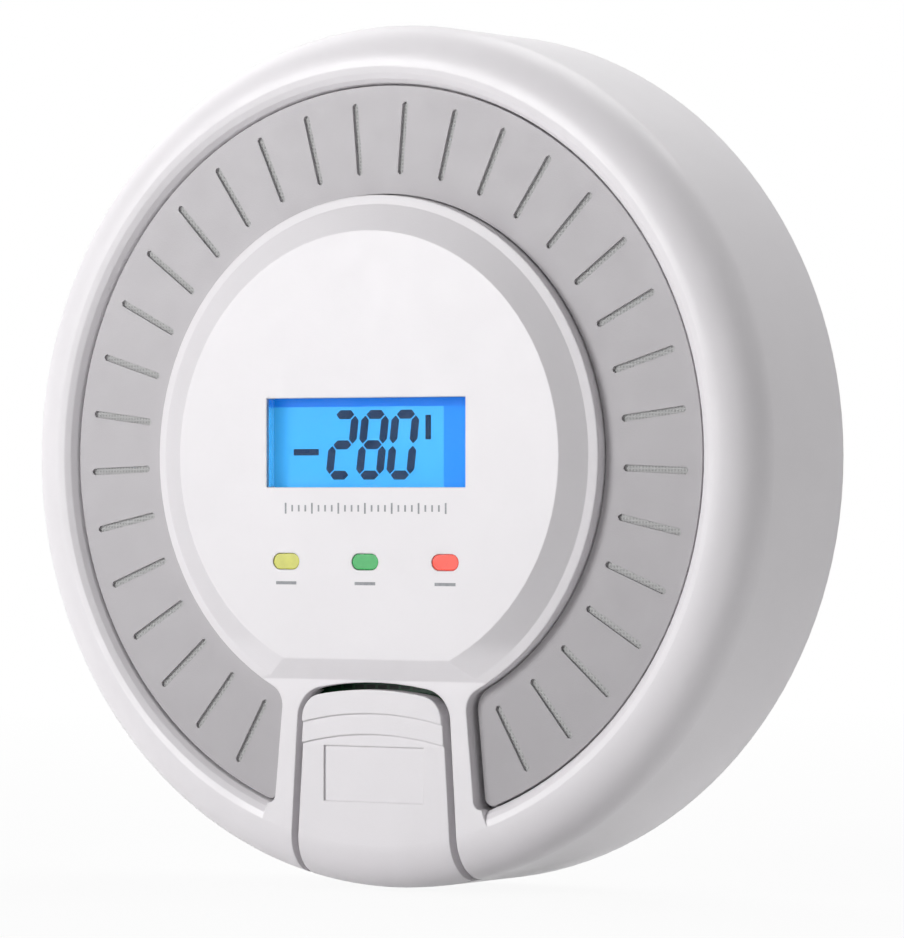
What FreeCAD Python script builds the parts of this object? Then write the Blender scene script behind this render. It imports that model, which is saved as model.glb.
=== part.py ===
"""Round wall-mounted carbon monoxide alarm with a display, as separate pieces.

Frame: +Z up, +X to the right as seen from the room, -Y out of the wall.
The origin is the centre of the mounting plate's back face, which is the wall.
"Depth" below is the distance from the wall towards the room, so Y = -depth.
"""
import FreeCAD, Part
import math
import os
import Sketcher
from FreeCAD import Placement, Rotation, Vector

doc = FreeCAD.newDocument("co_alarm")

# Driving dimensions, in millimetres and degrees

SIZES = {
    # Drum of the front housing
    "drum_radius": 60.0,
    "drum_depth": 25.5,
    "wall_gap": 5.5,
    "side_wall": 2.2,
    "lip_radius": 6.0,
    "lip_inner_radius": 2.4,
    "front_plate": 3.35,
    # Raised centre cap
    "cap_radius": 31.2,
    "cap_rise": 2.1,
    "cap_wall": 2.0,
    "bevel_width": 3.7,
    "collar_width": 1.3,
    "collar_height": 0.35,
    "skirt_wall": 2.0,
    # Neck of two legs beside the test button
    "neck_half_top": 15.0,
    "neck_half_foot": 16.5,
    "leg_width_top": 2.7,
    "leg_width_foot": 2.1,
    "neck_bevel_start": 28.1,
    "neck_bevel_run": 2.9,
    # Test button
    "button_crown": 32.3,
    "button_arch": 50.0,
    "button_corner": 3.4,
    "button_wall": 2.1,
    "button_side_gap": 1.1,
    "button_top_gap": 1.0,
    "button_wrap": 5.3,
    "terrace_step": 0.3,
    "first_terrace": 3.3,
    "second_terrace": 6.2,
    "thumb_half_width": 8.2,
    "thumb_top": 40.2,
    "thumb_bottom": 47.9,
    "thumb_sink": 0.25,
    "pivot_drop": 52.5,
    "pivot_depth": 25.4,
    "pivot_pin_radius": 1.2,
    "pivot_inset": 0.3,
    "pivot_lug_width": 2.2,
    "pivot_rib_spread": 9.0,
    "rib_wall": 1.6,
    # Grille insert
    "window_corner_top": 3.0,
    "window_corner_foot": 1.2,
    "ring_end_gap": 0.8,
    "ring_recess": 1.75,
    "ring_flange": 1.2,
    "ring_seat": 1.0,
    "slot_count": 32,
    "slot_pitch_angle": 9.73,
    "slot_width": 0.9,
    "slot_end_chamfer": 0.3,
    "slot_inner_margin": 3.0,
    "slot_outer_margin": 2.4,
    "mesh_thickness": 0.3,
    # Display
    "display_half_width": 16.4,
    "display_half_height": 6.2,
    "display_height": 1.9,
    "lens_thickness": 2.6,
    "lens_flange": 1.0,
    "lens_margin": 2.0,
    "panel_margin": 2.4,
    "panel_thickness": 2.6,
    "light_guide_thickness": 2.8,
    "strip_width": 1.8,
    "frame_wall": 1.6,
    # Indicator lights
    "light_spread": 13.1,
    "light_drop": 14.6,
    "light_length": 4.4,
    "light_height": 2.3,
    "led_length": 3.0,
    "led_width": 2.0,
    "led_height": 1.4,
    "pipe_flange": 0.8,
    # Circuit board
    "board_radius": 48.5,
    "board_thickness": 1.6,
    "board_drop": 6.9,
    "board_boss_x": 25.0,
    "board_boss_drop": 13.0,
    "board_boss_rise": 26.0,
    "board_boss_radius": 2.7,
    # Tactile switch
    "switch_drop": 40.0,
    "switch_side": 6.0,
    "switch_height": 3.2,
    "plunger_radius": 1.7,
    "plunger_rise": 1.1,
    "plunger_socket": 2.0,
    "post_gap": 0.1,
    # Sounder
    "sounder_x": -19.8,
    "sounder_z": 27.8,
    "sounder_radius": 12.5,
    "sounder_wall": 1.2,
    "sounder_height": 11.5,
    "port_radius": 3.2,
    "port_shift_x": -3.2,
    "port_shift_z": 4.5,
    "disc_ledge": 1.0,
    "disc_brass": 0.3,
    "disc_ceramic": 0.3,
    # Gas sensor
    "sensor_x": 21.0,
    "sensor_z": 28.0,
    "sensor_radius": 10.0,
    "sensor_height": 14.0,
    "sensor_pin_circle": 6.0,
    "sensor_pin_radius": 0.5,
    # Board parts
    "board_part_spread": 30.0,
    "board_part_drop": 30.0,
    "chip_x": 9.0,
    "chip_side": 10.0,
    "chip_height": 1.4,
    "coil_radius": 4.5,
    "coil_height": 5.0,
    "capacitor_radius": 3.15,
    "capacitor_height": 9.0,
    # Rear cover
    "cover_wall": 1.6,
    "platform_radius": 36.8,
    "platform_depth": 1.2,
    "platform_wall": 2.0,
    "channel_floor": 6.6,
    "channel_wall": 1.5,
    "channel_margin": 0.4,
    "channel_edge": 1.5,
    "vent_count": 5,
    "vent_pitch": 4.2,
    "vent_width": 1.8,
    "vent_length": 9.0,
    "vent_height": 25.5,
    # Battery bay and door
    "cell_radius": 7.15,
    "cell_length": 49.2,
    "cell_nub_radius": 2.7,
    "cell_nub_length": 1.2,
    "bay_centre": -2.5,
    "bay_half_length": 27.9,
    "bay_half_height": 15.7,
    "bay_wall": 2.2,
    "bay_ledge": 1.0,
    "bay_floor_wall": 1.5,
    "door_thickness": 1.6,
    "door_sink": 0.3,
    "door_bead": 1.1,
    "door_pin_radius": 0.8,
    "door_pin_length": 1.3,
    "tongue_half_width": 4.0,
    "tongue_wall": 1.0,
    "tongue_length": 2.6,
    "notch_half_width": 6.0,
    "notch_height": 4.0,
    "notch_depth": 1.3,
    "contact_width": 10.0,
    "contact_plate": 0.4,
    # Mounting plate and its twist lock
    "plate_inner_gap": 1.0,
    "plate_outer_gap": 0.7,
    "plate_thickness": 2.2,
    "plate_slot_inset": 6.0,
    "plate_slot_length": 7.0,
    "plate_slot_radius": 2.1,
    "hook_wall": 1.5,
    "hook_reach": 1.7,
    "hook_gap": 1.3,
    "hook_angle": 19.0,
    "hook_top": 5.9,
    "hook_lip": 1.6,
    "hook_stop": 2.0,
    "lug_reach": 2.6,
    "lug_angle": 14.0,
    "lug_thickness": 1.5,
    "lug_count": 4,
    "lug_start": 45.0,
    # Screws
    "screw_count": 3,
    "screw_inset": 3.5,
    "screw_boss_radius": 3.3,
    "screw_boss_height": 15.8,
    "screw_shank_radius": 1.25,
    "screw_head_radius": 2.5,
    "screw_head_height": 1.6,
    "screw_length": 10.0,
    "board_screw_length": 5.0,
    # Clearances
    "fit": 0.2,
    "running_fit": 0.06,
    "seat_gap": 0.3,
}


class Size:
    """A number together with the sheet expression that it comes from."""

    def __init__(self, number, text):
        self.number = number
        self.text = text

    def __add__(self, other):
        return combine(self, "+", other, self.number + plain(other))

    def __radd__(self, other):
        return combine(other, "+", self, plain(other) + self.number)

    def __sub__(self, other):
        return combine(self, "-", other, self.number - plain(other))

    def __rsub__(self, other):
        return combine(other, "-", self, plain(other) - self.number)

    def __mul__(self, other):
        return combine(self, "*", other, self.number * plain(other))

    def __rmul__(self, other):
        return combine(other, "*", self, plain(other) * self.number)

    def __truediv__(self, other):
        return combine(self, "/", other, self.number / plain(other))

    def __neg__(self):
        return 0 - self


def plain(value):
    """The bare number of a size or a number."""
    return value.number if isinstance(value, Size) else float(value)


def text(value):
    """The expression of a size or a number."""
    return value.text if isinstance(value, Size) else str(float(value))


def combine(left, sign, right, number):
    return Size(number, f"({text(left)} {sign} {text(right)})")


def half_chord(radius, distance):
    """Half the length of a circle's chord at a distance from the centre."""
    return Size(math.sqrt(plain(radius) ** 2 - plain(distance) ** 2),
                f"sqrt({text(radius)} ^ 2 - {text(distance)} ^ 2)")


def make_sheet():
    """Write the driving dimensions to a spreadsheet and return them by name."""
    sheet = doc.addObject("Spreadsheet::Sheet", "Sizes")
    found = {}
    for row, (name, number) in enumerate(SIZES.items(), start=1):
        sheet.set(f"A{row}", name)
        sheet.set(f"B{row}", str(number))
        sheet.setAlias(f"B{row}", name)
        found[name] = Size(float(number), f"Sizes.{name}")
    doc.recompute()
    return found


class Names:
    """Attribute access to the sheet's sizes."""

    def __init__(self, found):
        self.__dict__.update(found)


s = Names(make_sheet())

# Levels and radii that several pieces share

lip_depth = s.wall_gap + s.drum_depth
cap_depth = lip_depth + s.cap_rise
cap_inside = cap_depth - s.cap_wall
plate_back = lip_depth - s.front_plate
ring_depth = lip_depth - s.ring_recess
flange_back = plate_back - s.ring_flange
lip_crest = s.drum_radius - s.lip_radius
lip_inner = lip_crest - s.lip_inner_radius
bevel_radius = s.cap_radius + s.bevel_width
collar_radius = bevel_radius + s.collar_width
drum_inner = s.drum_radius - s.side_wall
board_front = cap_inside - s.board_drop
board_back = board_front - s.board_thickness
cover_inside = s.channel_floor + s.cover_wall
platform_inside = s.platform_depth + s.platform_wall
screw_circle = drum_inner - s.screw_inset
channel_radius = (screw_circle - s.screw_head_radius - s.fit - s.channel_margin
                  - s.channel_wall)
hook_inner = channel_radius - s.hook_gap - s.hook_reach - s.hook_wall
plate_inner = s.platform_radius + s.plate_inner_gap
plate_outer = channel_radius - s.plate_outer_gap
plate_slot_place = plate_outer - s.plate_slot_inset

# Places on the front that follow the neck and the window

button_half_top = s.neck_half_top - s.leg_width_top - s.button_side_gap
button_half_foot = s.neck_half_foot - s.leg_width_foot - s.button_side_gap
pivot_half_span = s.neck_half_foot - s.pivot_inset
slot_inner = collar_radius + s.slot_inner_margin
slot_outer = lip_inner - s.slot_outer_margin
bevel_foot = s.neck_bevel_start + s.neck_bevel_run


# Drawing helpers

HALF_ROUND = "half round"
TO_THE_TOP = -90
ROUNDING_FLATS = 4


def new_body(label):
    body = doc.addObject("PartDesign::Body", label)
    body.Label = label
    return body


def origin_feature(body, role):
    return next(f for f in body.Origin.OriginFeatures if f.Role == role)


def new_sketch(body, role, offset=None, turn=None, turn_axis=Vector(0, 0, 1)):
    """A sketch on one of the body's origin planes, moved along its normal and turned."""
    sketch = body.newObject("Sketcher::SketchObject", "Sketch")
    sketch.AttachmentSupport = (origin_feature(body, role), [""])
    sketch.MapMode = "FlatFace"
    if turn is not None:
        sketch.AttachmentOffset = Placement(Vector(), Rotation(turn_axis, plain(turn)))
        sketch.setExpression("AttachmentOffset.Rotation.Angle", text(turn))
    if offset is not None:
        sketch.setExpression("AttachmentOffset.Base.z", text(offset))
    doc.recompute()
    return sketch


def front_sketch(body, depth=None, turn=None):
    """A sketch parallel to the wall: its x is +X, its y is +Z, its normal points to the room."""
    return new_sketch(body, "XZ_Plane", depth, turn)


def fix_point(sketch, edge, end, x, y):
    """Hold one end of an edge at x, y from the sketch's origin."""
    for kind, axis, value in (("DistanceX", -2, x), ("DistanceY", -1, y)):
        if plain(value) == 0:
            sketch.addConstraint(Sketcher.Constraint("PointOnObject", edge, end, axis))
            continue
        index = sketch.addConstraint(
            Sketcher.Constraint(kind, -1, 1, edge, end, plain(value)))
        sketch.setExpression(f"Constraints[{index}]", text(value))


def fix_radius(sketch, edge, radius):
    index = sketch.addConstraint(Sketcher.Constraint("Radius", edge, plain(radius)))
    sketch.setExpression(f"Constraints[{index}]", text(radius))


def arc_between(start, end, radius):
    """An arc from start to end; a positive radius bulges to the right of the way."""
    chord = end - start
    half = chord.Length / 2
    side = Vector(chord.y, -chord.x, 0).normalize()
    if radius == HALF_ROUND:
        rise = half
    else:
        rise = abs(plain(radius)) - math.sqrt(plain(radius) ** 2 - half * half)
        rise = math.copysign(rise, plain(radius))
    return Part.Arc(start, (start + end) / 2 + side * rise, end)


def closed_outline(sketch, corners):
    """Edges through the corners in turn; a corner's third value makes its edge an arc."""
    points = [Vector(plain(c[0]), plain(c[1]), 0) for c in corners]
    first = sketch.GeometryCount
    count = len(corners)
    starts = []
    for i, corner in enumerate(corners):
        start, end = points[i], points[(i + 1) % count]
        if len(corner) > 2:
            sketch.addGeometry(arc_between(start, end, corner[2]))
            backwards = (sketch.getPoint(first + i, 1) - start).Length > 1e-6
            starts.append(2 if backwards else 1)
        else:
            sketch.addGeometry(Part.LineSegment(start, end))
            starts.append(1)
    for i in range(count):
        after = (i + 1) % count
        sketch.addConstraint(Sketcher.Constraint(
            "Coincident", first + i, 3 - starts[i], first + after, starts[after]))
    for i, corner in enumerate(corners):
        fix_point(sketch, first + i, starts[i], corner[0], corner[1])
        if len(corner) > 2 and corner[2] == HALF_ROUND:
            sketch.addConstraint(Sketcher.Constraint(
                "Symmetric", first + i, 1, first + i, 2, first + i, 3))
        elif len(corner) > 2:
            radius = corner[2] if plain(corner[2]) > 0 else -corner[2]
            fix_radius(sketch, first + i, radius)


def rectangle(sketch, left, bottom, right, top):
    closed_outline(sketch, [(left, bottom), (right, bottom), (right, top), (left, top)])


def centred_rectangle(sketch, x, y, half_width, half_height):
    rectangle(sketch, x - half_width, y - half_height, x + half_width, y + half_height)


def circle(sketch, x, y, radius):
    edge = sketch.addGeometry(
        Part.Circle(Vector(plain(x), plain(y), 0), Vector(0, 0, 1), plain(radius)))
    fix_point(sketch, edge, 3, x, y)
    fix_radius(sketch, edge, radius)


def obround(sketch, x, y, half_length, radius, upright=False):
    """A slot outline centred on x, y; half_length runs to the ends' centres."""
    if upright:
        corners = [(x + radius, y - half_length), (x + radius, y + half_length, HALF_ROUND),
                   (x - radius, y + half_length), (x - radius, y - half_length, HALF_ROUND)]
    else:
        corners = [(x - half_length, y - radius), (x + half_length, y - radius, HALF_ROUND),
                   (x + half_length, y + radius), (x - half_length, y + radius, HALF_ROUND)]
    closed_outline(sketch, corners)


def pad(body, sketch, length, symmetric=False):
    """Add the outline's solid on the sketch's normal side."""
    feature = body.newObject("PartDesign::Pad", "Pad")
    feature.Profile = sketch
    feature.setExpression("Length", text(length))
    if symmetric:
        feature.SideType = "Symmetric"
    return finish_feature(body, feature)


def pocket(body, sketch, length, symmetric=False):
    """Cut the outline away on the side behind the sketch, which has to remove something."""
    before = body.Shape.Volume
    feature = body.newObject("PartDesign::Pocket", "Pocket")
    feature.Profile = sketch
    feature.setExpression("Length", text(length))
    if symmetric:
        feature.SideType = "Symmetric"
    finish_feature(body, feature)
    if not body.Shape.Volume < before - 1e-6:
        raise RuntimeError(f"a pocket of {body.Label} cuts nothing")
    return feature


def revolve(body, sketch, angle=None):
    """Turn a profile of (radius, -depth) points about the alarm's axis."""
    feature = body.newObject("PartDesign::Revolution", "Revolution")
    feature.Profile = sketch
    feature.ReferenceAxis = (origin_feature(body, "Y_Axis"), [""])
    if angle is None:
        feature.Angle = 360
    else:
        feature.setExpression("Angle", text(angle))
        feature.Midplane = True
    return finish_feature(body, feature)


def groove(body, sketch, angle):
    """Cut a profile away along an arc about the alarm's axis, to both sides of its sketch."""
    before = body.Shape.Volume
    feature = body.newObject("PartDesign::Groove", "Groove")
    feature.Profile = sketch
    feature.ReferenceAxis = (origin_feature(body, "Y_Axis"), [""])
    feature.setExpression("Angle", text(angle))
    feature.Midplane = True
    finish_feature(body, feature)
    if not body.Shape.Volume < before - 1e-6:
        raise RuntimeError(f"a groove of {body.Label} cuts nothing")
    return feature


def polar(body, features, count, angle=None):
    """Repeat features clockwise about the alarm's axis, seen from the room."""
    pattern = body.newObject("PartDesign::PolarPattern", "PolarPattern")
    pattern.Originals = features
    pattern.Axis = (origin_feature(body, "Y_Axis"), [""])
    pattern.setExpression("Occurrences", text(count))
    if angle is None:
        pattern.Angle = 360
    else:
        pattern.setExpression("Angle", text(angle))
    return finish_feature(body, pattern)


def finish_feature(body, feature):
    body.Tip = feature
    doc.recompute()
    for item in [feature, *feature.OutList]:
        if "Invalid" in item.State or "Error" in item.State:
            raise RuntimeError(f"{item.Name} of {body.Label} failed: {item.State}")
    return feature


def corner_inside(radius, depth, reach):
    """Two flats that follow a rounded corner from the inside of a shell."""
    bend = reach * (1 - math.sqrt(0.5))
    return [(radius - reach, depth), (radius - bend, depth - bend), (radius, depth - reach)]


def profile(body, corners, turn=None):
    """A half-section sketch of (radius, depth) corners beside the alarm's axis.

    A corner's third value is an arc radius, positive where it bulges to the left of the way.
    """
    sketch = new_sketch(body, "XY_Plane", None, turn, Vector(0, 1, 0))
    closed_outline(sketch, [(radius, -depth, *arc) for radius, depth, *arc in corners])
    return sketch


# Shapes that the housing, the grille and the button share

def end_at(sketch, edge, point):
    """Which end of an edge is at a point: 1 is its start, 2 its end."""
    return min((1, 2), key=lambda end: (sketch.getPoint(edge, end) - point).Length)


def join_smoothly(sketch, first, second, point):
    sketch.addConstraint(Sketcher.Constraint(
        "Tangent", first, end_at(sketch, first, point), second, end_at(sketch, second, point)))


def mirrored(point):
    return Vector(-point.x, point.y, 0)


class RoundedCorner:
    """Where a corner arc meets a side line on the right and a ring about the axis."""

    def __init__(self, start, along, ring, radius, sign):
        self.radius = radius
        aside = Vector(-along.y, along.x, 0)
        base = start + aside * plain(radius)
        reach = plain(ring) + sign * plain(radius)
        slope = base.dot(along)
        run = math.sqrt(slope ** 2 - base.dot(base) + reach ** 2) - slope
        centre = base + along * run
        self.on_side = centre - aside * plain(radius)
        self.on_ring = centre * (plain(ring) / centre.Length)
        outwards = (self.on_side - centre) + (self.on_ring - centre)
        self.middle = centre + outwards.normalize() * plain(radius)


def ring_sector(sketch, inner, outer, inner_x, outer_x):
    """A ring open at the bottom between two sloped lines, with round corners.

    The lines run from inner_x on the inner circle to outer_x on the outer one.
    """
    sharp = [Vector(plain(x), -math.sqrt(plain(radius) ** 2 - plain(x) ** 2), 0)
             for radius, x in ((inner, inner_x), (outer, outer_x))]
    along = (sharp[1] - sharp[0]).normalize()
    corners = [RoundedCorner(sharp[0], along, inner, s.window_corner_top, 1),
               RoundedCorner(sharp[0], along, outer, s.window_corner_foot, -1)]
    rings = []
    for radius, corner in zip((inner, outer), corners):
        angle = math.atan2(corner.on_ring.y, corner.on_ring.x)
        ring = Part.Circle(Vector(), Vector(0, 0, 1), plain(radius))
        rings.append(sketch.addGeometry(Part.ArcOfCircle(ring, angle, math.pi - angle)))
        sketch.addConstraint(Sketcher.Constraint("Coincident", rings[-1], 3, -1, 1))
        fix_radius(sketch, rings[-1], radius)
    for side, place in ((1, Vector), (-1, mirrored)):
        line = sketch.addGeometry(
            Part.LineSegment(place(corners[0].on_side), place(corners[1].on_side)))
        for ring, corner, point, x in zip(rings, corners, sharp, (inner_x, outer_x)):
            on_side, on_ring = place(corner.on_side), place(corner.on_ring)
            arc = sketch.addGeometry(Part.Arc(on_side, place(corner.middle), on_ring))
            join_smoothly(sketch, line, arc, on_side)
            join_smoothly(sketch, arc, ring, on_ring)
            fix_radius(sketch, arc, corner.radius)
            guide = sketch.addGeometry(Part.Point(place(point)), True)
            for edge in (line, ring):
                sketch.addConstraint(Sketcher.Constraint("PointOnObject", guide, 1, edge))
            index = sketch.addConstraint(
                Sketcher.Constraint("DistanceX", -1, 1, guide, 1, side * plain(x)))
            sketch.setExpression(f"Constraints[{index}]", text(side * x))


def button_outline(sketch, half_top, half_foot, crown, foot, corner):
    """The button's front outline: an arched top, round corners and sides that spread.

    half_top is the half width at the crown's height, half_foot the one at the foot.
    """
    top = Vector(0, -plain(crown + s.button_arch), 0)
    start = Vector(plain(half_top), -plain(crown), 0)
    end = Vector(plain(half_foot), -plain(foot), 0)
    along = (end - start).normalize()
    inward = Vector(along.y, -along.x, 0)
    reach = plain(s.button_arch) - plain(corner)
    offset = start + inward * plain(corner) - top
    slope = offset.dot(along)
    run = -slope - math.sqrt(slope ** 2 - offset.dot(offset) + reach ** 2)
    centre = top + offset + along * run
    on_side = start + along * run
    on_top = top + (centre - top).normalize() * plain(s.button_arch)
    middle = centre + (on_side - centre + on_top - centre).normalize() * plain(corner)
    crest = Vector(0, -plain(crown), 0)
    arch = sketch.addGeometry(Part.Arc(on_top, crest, mirrored(on_top)))
    corners = [sketch.addGeometry(Part.Arc(on_side, middle, on_top)),
               sketch.addGeometry(Part.Arc(*map(mirrored, (on_top, middle, on_side))))]
    sides = [sketch.addGeometry(Part.LineSegment(end, on_side)),
             sketch.addGeometry(Part.LineSegment(mirrored(on_side), mirrored(end)))]
    base = sketch.addGeometry(Part.LineSegment(mirrored(end), end))
    for first, second in ((sides[0], corners[0]), (corners[0], arch), (arch, corners[1]),
                          (corners[1], sides[1])):
        sketch.addConstraint(Sketcher.Constraint("Tangent", first, 2, second, 1))
    sketch.addConstraint(Sketcher.Constraint("Coincident", sides[1], 2, base, 1))
    sketch.addConstraint(Sketcher.Constraint("Coincident", base, 2, sides[0], 1))
    fix_point(sketch, arch, 3, 0, -(crown + s.button_arch))
    fix_radius(sketch, arch, s.button_arch)
    for side, sign in zip(sides, (1, -1)):
        fix_point(sketch, side, 1 if sign > 0 else 2, sign * half_foot, -foot)
        guide = sketch.addGeometry(
            Part.Point(Vector(sign * plain(half_top), -plain(crown), 0)), True)
        fix_point(sketch, guide, 1, sign * half_top, -crown)
        sketch.addConstraint(Sketcher.Constraint("PointOnObject", guide, 1, side))
    for edge in corners:
        fix_radius(sketch, edge, corner)


# Pieces of the alarm's case

def make_front_housing():
    """One moulding: drum, rounded lip, raised cap and the two legs that join them."""
    body = new_body("front_housing")
    sketch = profile(body, [
        (s.drum_radius, s.wall_gap),
        (s.drum_radius, lip_depth - s.lip_radius, -s.lip_radius),
        (lip_crest, lip_depth),
        (collar_radius, lip_depth),
        (bevel_radius, lip_depth + s.collar_height),
        (s.cap_radius, cap_depth),
        (0, cap_depth),
        (0, cap_inside),
        (s.cap_radius - s.cap_wall / 2, cap_inside),
        (collar_radius - s.skirt_wall, lip_depth - s.cap_wall),
        (collar_radius - s.skirt_wall, plate_back),
        *corner_inside(drum_inner, plate_back, s.lip_radius - s.front_plate),
        (drum_inner, s.wall_gap),
    ])
    revolve(body, sketch)
    cut_ring_window(body)
    round_window_edge(body)
    cut_neck_bevel(body)
    add_neck_wall(body)
    cut_button_opening(body)
    cut_face_windows(body)
    add_screw_bosses(body)
    add_board_bosses(body)
    add_pivot_lugs(body)
    return body


def cut_ring_window(body):
    sketch = front_sketch(body, lip_depth + s.fit)
    ring_sector(sketch, collar_radius, lip_inner, s.neck_half_top, s.neck_half_foot)
    pocket(body, sketch, s.front_plate + s.fit * 2)


def round_window_edge(body):
    """Round the lip's inner edge along the window, up to the corners beside the legs."""
    corner_x = s.neck_half_foot + s.window_corner_foot
    half_left = math.degrees(math.asin(plain(corner_x) / plain(lip_inner)))
    angle = Size(360 - 2 * half_left,
                 f"(360 deg - 2 * asin({text(corner_x)} / {text(lip_inner)}))")
    inside = lip_inner - s.fit
    bends = [math.pi / 2 * flat / ROUNDING_FLATS for flat in range(ROUNDING_FLATS + 1)]
    sketch = profile(body, [
        *((lip_crest - s.lip_inner_radius * math.sin(bend),
           lip_depth - s.lip_inner_radius * (1 - math.cos(bend))) for bend in bends),
        (inside, lip_depth - s.lip_inner_radius),
        (inside, lip_depth + s.fit),
        (lip_crest, lip_depth + s.fit),
    ], turn=TO_THE_TOP)
    groove(body, sketch, angle)


def cut_neck_bevel(body):
    """Trim the cap's round edge to a straight bevel above the button, out to the collar."""
    sketch = new_sketch(body, "YZ_Plane")
    above = cap_depth + s.cap_rise
    closed_outline(sketch, [
        (-cap_depth, -s.neck_bevel_start),
        (-lip_depth, -bevel_foot),
        (-lip_depth, -(collar_radius + s.collar_width)),
        (-above, -(collar_radius + s.collar_width)),
        (-above, -s.neck_bevel_start),
    ])
    pocket(body, sketch, (half_chord(collar_radius, bevel_foot) + s.fit) * 2, symmetric=True)


def add_neck_wall(body):
    """Thicken the wall behind the straight bevel."""
    sketch = new_sketch(body, "YZ_Plane")
    behind = lip_depth - s.cap_wall
    closed_outline(sketch, [
        (-(cap_inside + s.fit), -(s.neck_bevel_start - s.cap_wall)),
        (-(cap_inside + s.fit), -s.neck_bevel_start),
        (-(lip_depth - s.fit), -bevel_foot),
        (-(lip_depth - s.fit), -bevel_radius),
        (-behind, -bevel_radius),
        (-behind, -(bevel_foot - s.cap_wall / 2)),
    ])
    pad(body, sketch, (s.neck_half_top - s.fit) * 2, symmetric=True)


def cut_button_opening(body):
    """The gap for the button, open at the foot where the button wraps over the lip."""
    half_top = button_half_top + s.button_side_gap
    half_foot = button_half_foot + s.button_side_gap
    crown = s.button_crown - s.button_top_gap
    sketch = front_sketch(body, cap_depth)
    button_outline(sketch, half_top, half_foot, crown, s.drum_radius + s.lip_radius,
                   s.button_corner + s.button_side_gap)
    pocket(body, sketch, s.cap_rise + s.button_wrap + s.button_side_gap)


def cut_face_windows(body):
    """The display window and the three windows of the indicator lights."""
    sketch = front_sketch(body, cap_depth)
    centred_rectangle(sketch, 0, s.display_height, s.display_half_width, s.display_half_height)
    pocket(body, sketch, s.cap_wall * 2)
    for place in (-1, 0, 1):
        sketch = front_sketch(body, cap_depth)
        light_outline(sketch, place, 0)
        pocket(body, sketch, s.cap_wall * 2)


def light_outline(sketch, place, margin):
    """The oval of one indicator window, made smaller by a margin."""
    radius = s.light_height / 2 - margin
    obround(sketch, place * s.light_spread, -s.light_drop,
            (s.light_length - s.light_height) / 2, radius)


def add_screw_bosses(body):
    """Three bosses on the drum's wall for the screws of the rear cover."""
    sketch = front_sketch(body, cover_inside)
    radius = s.screw_boss_radius
    closed_outline(sketch, [
        (-radius, drum_inner + s.side_wall / 2),
        (-radius, screw_circle, HALF_ROUND),
        (radius, screw_circle),
        (radius, drum_inner + s.side_wall / 2),
    ])
    boss = pad(body, sketch, s.screw_boss_height)
    sketch = front_sketch(body, cover_inside + s.screw_length)
    circle(sketch, 0, screw_circle, s.screw_shank_radius + s.running_fit)
    hole = pocket(body, sketch, s.screw_length)
    polar(body, [boss, hole], s.screw_count)


def board_boss_places():
    return ((-s.board_boss_x, -s.board_boss_drop), (s.board_boss_x, -s.board_boss_drop),
            (0, s.board_boss_rise))


def add_board_bosses(body):
    """Three bosses behind the cap that carry the circuit board."""
    for x, z in board_boss_places():
        sketch = front_sketch(body, board_front)
        circle(sketch, x, z, s.board_boss_radius)
        pad(body, sketch, s.board_drop + s.fit)
    for x, z in board_boss_places():
        sketch = front_sketch(body, board_front + s.board_screw_length)
        circle(sketch, x, z, s.screw_shank_radius + s.running_fit)
        pocket(body, sketch, s.board_screw_length)


def add_pivot_lugs(body):
    """Two bearing lugs under the legs that hold the button's pivot pins."""
    half = s.pivot_pin_radius + s.rib_wall
    for side in (-1, 1):
        middle = side * (pivot_half_span - s.pivot_lug_width / 2)
        sketch = new_sketch(body, "YZ_Plane", middle)
        rectangle(sketch, -(plate_back + s.fit), -(s.pivot_drop + half),
                  -(s.pivot_depth - half), -(s.pivot_drop - half))
        pad(body, sketch, s.pivot_lug_width, symmetric=True)
        sketch = new_sketch(body, "YZ_Plane", middle)
        circle(sketch, -s.pivot_depth, -s.pivot_drop, s.pivot_pin_radius + s.running_fit)
        pocket(body, sketch, s.pivot_lug_width * 2, symmetric=True)


def make_grille_ring():
    """Grey C-shaped insert with radial sound slots, seated behind the housing's window."""
    body = new_body("grille_ring")
    sketch = front_sketch(body, plate_back)
    ring_sector(sketch, collar_radius + s.fit, lip_inner - s.fit,
                s.neck_half_top + s.ring_end_gap, s.neck_half_foot + s.ring_end_gap)
    pad(body, sketch, s.front_plate - s.ring_recess)
    sketch = front_sketch(body, flange_back)
    ring_sector(sketch, collar_radius - s.skirt_wall + s.fit, lip_inner + s.ring_seat,
                s.neck_half_top + s.ring_end_gap, s.neck_half_foot + s.ring_end_gap)
    pad(body, sketch, s.ring_flange)
    span = (s.slot_count - 1) * s.slot_pitch_angle
    sketch = front_sketch(body, ring_depth + s.fit, span / 2)
    half = s.slot_width / 2
    cut = s.slot_end_chamfer
    closed_outline(sketch, [
        (cut - half, slot_inner), (half - cut, slot_inner),
        (half, slot_inner + cut), (half, slot_outer - cut),
        (half - cut, slot_outer), (cut - half, slot_outer),
        (-half, slot_outer - cut), (-half, slot_inner + cut),
    ])
    slot = pocket(body, sketch, ring_depth - flange_back + s.fit * 2)
    polar(body, [slot], s.slot_count, span)
    return body


def make_insect_mesh():
    """Fine mesh that backs the slots and keeps insects out."""
    body = new_body("insect_mesh")
    sketch = front_sketch(body, flange_back - s.mesh_thickness)
    ring_sector(sketch, slot_inner - s.collar_width, slot_outer + s.collar_width,
                s.neck_half_top, s.neck_half_foot)
    pad(body, sketch, s.mesh_thickness)
    return body


# Test button and switch

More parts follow.
